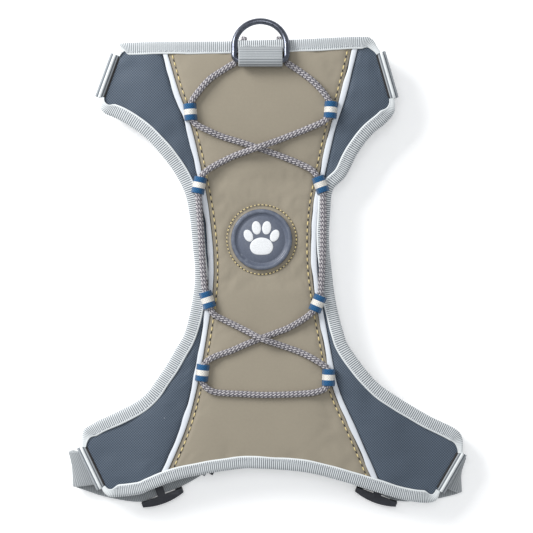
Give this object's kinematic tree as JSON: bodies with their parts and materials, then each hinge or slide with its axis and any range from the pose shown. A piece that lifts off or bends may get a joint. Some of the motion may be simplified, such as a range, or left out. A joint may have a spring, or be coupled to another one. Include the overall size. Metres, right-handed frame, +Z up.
{
  "type": "no pull dog harness",
  "caption": "Padded dog harness laid flat: hourglass back panel with laced elastic cord and lead ring, chest panel beneath, webbing straps, adjusters and side release buckles.",
  "frame": {"origin": "under the middle of the whole harness's box, on the surface that it lies on", "axes": "+Z up through the stacked panels, +Y towards the neck and the back lead ring, +X to the viewer's right"},
  "size_m": [0.2199, 0.2697, 0.0296],
  "materials": {
    "taupe_face": "matt laminated face, taupe",
    "slate_fabric": "fine woven polyester, slate blue",
    "grosgrain": "ribbed binding tape, silver grey",
    "webbing": "woven polyester webbing, silver grey",
    "reflective": "retro-reflective piping, white silver",
    "foam": "closed cell foam",
    "spacer_mesh": "spacer mesh, charcoal",
    "badge_rubber": "moulded soft rubber, navy grey",
    "braided_cord": "braided elastic cord, grey fleck",
    "loop_ribbon": "striped ribbon, blue and off-white",
    "ring_wire": "gunmetal plated wire",
    "buckle_plastic": "moulded acetal, black"
  },
  "bodies": {
    "root": {"back_foam_core": "foam", "back_mesh_lining": "spacer_mesh", "centre_face_panel": "taupe_face", "side_face_left": "slate_fabric", "side_face_right": "slate_fabric", "reflective_strip_left": "reflective", "reflective_strip_right": "reflective", "binding_top": "grosgrain", "binding_bottom": "grosgrain", "binding_left": "grosgrain", "binding_right": "grosgrain", "badge": "badge_rubber", "bungee_cord": "braided_cord", "back_ring_keeper": "webbing", "chest_foam_core": "foam", "chest_face": "slate_fabric", "chest_mesh_lining": "spacer_mesh", "chest_binding_top": "grosgrain", "chest_binding_left": "grosgrain", "chest_binding_right": "grosgrain", "front_ring_keeper": "webbing", "cord_loop_left_1": "loop_ribbon", "cord_loop_left_2": "loop_ribbon", "cord_loop_left_3": "loop_ribbon", "cord_loop_left_4": "loop_ribbon", "neck_strap_left": "webbing", "girth_strap_left": "webbing", "buckle_strap_left": "webbing", "buckle_socket_left": "buckle_plastic", "cord_loop_right_1": "loop_ribbon", "cord_loop_right_2": "loop_ribbon", "cord_loop_right_3": "loop_ribbon", "cord_loop_right_4": "loop_ribbon", "neck_strap_right": "webbing", "girth_strap_right": "webbing", "buckle_strap_right": "webbing", "buckle_socket_right": "buckle_plastic"},
    "back_ring": {"back_d_ring": "ring_wire"},
    "front_ring": {"front_d_ring": "ring_wire"},
    "neck_slider_left": {"neck_slider_left": "buckle_plastic"},
    "neck_slider_right": {"neck_slider_right": "buckle_plastic"},
    "girth_slider_left": {"girth_slider_left": "buckle_plastic"},
    "girth_slider_right": {"girth_slider_right": "buckle_plastic"},
    "buckle_plug_left": {"buckle_plug_left": "buckle_plastic"},
    "buckle_plug_right": {"buckle_plug_right": "buckle_plastic"}
  },
  "joints": [
    {"name": "back_ring_swing", "type": "hinge", "parent": "root", "child": "back_ring", "pos_m": [-0.003, 0.111, 0.0262], "axis": [1, 0, 0], "range_deg": [0, 180]},
    {"name": "front_ring_swing", "type": "hinge", "parent": "root", "child": "front_ring", "pos_m": [-0.0028, 0.1195, 0.0037], "axis": [1, 0, 0], "range_deg": [0, 175]},
    {"name": "neck_slide_left", "type": "slide", "parent": "root", "child": "neck_slider_left", "axis": [0.9563, -0.2924, 0], "range_m": [-0.004, 0.003]},
    {"name": "neck_slide_right", "type": "slide", "parent": "root", "child": "neck_slider_right", "axis": [-0.9659, -0.2588, 0], "range_m": [-0.001, 0.0015]},
    {"name": "girth_slide_left", "type": "slide", "parent": "root", "child": "girth_slider_left", "axis": [0.9367, 0.3502, 0], "range_m": [-0.002, 0]},
    {"name": "girth_slide_right", "type": "slide", "parent": "root", "child": "girth_slider_right", "axis": [-0.9367, 0.3502, 0], "range_m": [-0.002, 0]},
    {"name": "buckle_release_left", "type": "slide", "parent": "root", "child": "buckle_plug_left", "axis": [0.5, 0.866, 0], "range_m": [0, 0.014], "deforming": ["buckle_strap_left"]},
    {"name": "buckle_release_right", "type": "slide", "parent": "root", "child": "buckle_plug_right", "axis": [-0.5, 0.866, 0], "range_m": [0, 0.014], "deforming": ["buckle_strap_right"]}
  ]
}
